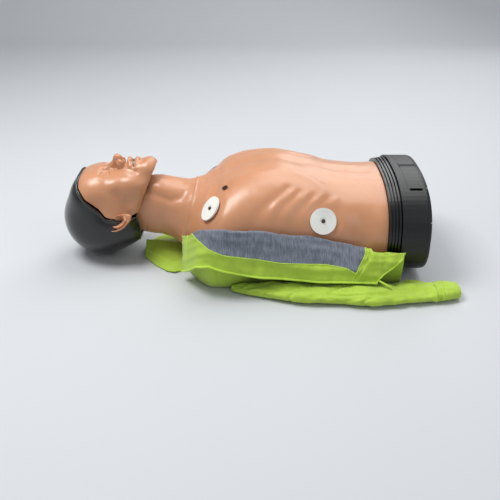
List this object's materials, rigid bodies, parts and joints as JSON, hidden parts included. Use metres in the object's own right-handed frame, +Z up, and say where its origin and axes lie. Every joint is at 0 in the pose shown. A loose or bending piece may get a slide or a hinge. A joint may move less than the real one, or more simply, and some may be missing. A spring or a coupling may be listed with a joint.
{
  "type": "resuscitation training manikin",
  "caption": "Resuscitation training manikin: adult head and torso lying on the back, chest that presses down, head that tilts, hatches at the hips, open padded jacket",
  "frame": {"origin": "on the floor, at the middle of the rubber foot pad under the hip casing, on the body's mid-plane", "axes": "+X from the head towards the hips, along the body; +Y to the manikin's left; +Z up, away from the floor it lies on"},
  "size_m": [0.8391, 0.518, 0.2334],
  "materials": {
    "soft_skin": "satin, lightly textured soft vinyl",
    "hard_shell_skin": "satin moulded shell",
    "gloss_black": "glossy moulded plastic",
    "matt_black": "fine matt moulded plastic",
    "foot_rubber": "matt",
    "disc_white": "satin",
    "stud_brown": "matt",
    "steel": "brushed",
    "frame_grey": "plain",
    "inner_white": "plain",
    "pad_foam": "matt foam",
    "board_green": "solder mask",
    "button_red": "glossy",
    "lens_green": "clear",
    "cell_blue": "plain printed sleeve, no marks",
    "jacket_lime": "woven nylon",
    "jacket_lining": "heathered mesh"
  },
  "bodies": {
    "torso": {"chest_skin": "soft_skin", "neck_skin": "soft_skin", "back_shell": "hard_shell_skin", "neck_bracket": "frame_grey", "tilt_pin": "steel", "guide_tube": "inner_white", "guide_screws": "steel", "return_spring": "steel", "depth_sensor": "board_green", "waist_ring": "matt_black", "hip_casing": "matt_black", "end_cover": "matt_black", "cover_screws": "steel", "floor_pad": "foot_rubber", "control_tray": "matt_black", "battery_tray": "matt_black", "flap_pins": "steel", "status_lens": "lens_green", "usb_socket": "steel", "battery_cells": "cell_blue", "battery_springs": "steel", "shoulder_cap_right": "matt_black", "shoulder_cap_left": "matt_black", "electrode_disc_upper": "disc_white", "electrode_disc_lower": "disc_white", "snap_stud": "stud_brown", "jacket_back": "jacket_lining", "jacket_front_right": "jacket_lime", "jacket_front_left": "jacket_lime", "jacket_sleeve_right": "jacket_lime", "jacket_sleeve_left": "jacket_lime", "jacket_cuff_right": "jacket_lime", "jacket_cuff_left": "jacket_lime", "jacket_hem_right": "jacket_lime", "jacket_hem_left": "jacket_lime", "jacket_collar": "jacket_lime"},
    "plunger": {"plunger_tube": "inner_white", "sternum_plate": "inner_white", "chest_pad": "pad_foam"},
    "head": {"face_skin": "soft_skin", "hair_shell": "gloss_black", "skull_plates": "frame_grey", "skull_keel": "frame_grey", "keel_screws": "steel", "jaw_pin": "steel", "mouthpiece": "inner_white"},
    "jaw": {"mandible": "inner_white"},
    "control_flap": {"control_flap": "matt_black"},
    "battery_flap": {"battery_flap": "matt_black"},
    "power_button": {"power_button": "button_red"}
  },
  "joints": [
    {"name": "chest_press", "type": "slide", "parent": "torso", "child": "plunger", "axis": [0, 0, -1], "range_m": [0, 0.055], "stiffness_N_per_m": 10000, "deforming": ["return_spring"]},
    {"name": "head_tilt", "type": "hinge", "parent": "torso", "child": "head", "pos_m": [-0.545, 0, 0.072], "axis": [0, 1, 0], "range_deg": [0, 12]},
    {"name": "jaw_open", "type": "hinge", "parent": "head", "child": "jaw", "pos_m": [-0.61845, 0, 0.11652], "axis": [0, 1, 0], "range_deg": [0, 5], "stiffness_Nm_per_rad": 6},
    {"name": "control_hatch", "type": "hinge", "parent": "torso", "child": "control_flap", "pos_m": [0.003, -0.009, 0.2006], "axis": [-1, 0, 0], "range_deg": [0, 85]},
    {"name": "battery_hatch", "type": "hinge", "parent": "torso", "child": "battery_flap", "pos_m": [0.003, 0.009, 0.2006], "axis": [1, 0, 0], "range_deg": [0, 85]},
    {"name": "button_press", "type": "slide", "parent": "torso", "child": "power_button", "axis": [0, 0, -1], "range_m": [0, 0.0015], "stiffness_N_per_m": 400}
  ]
}
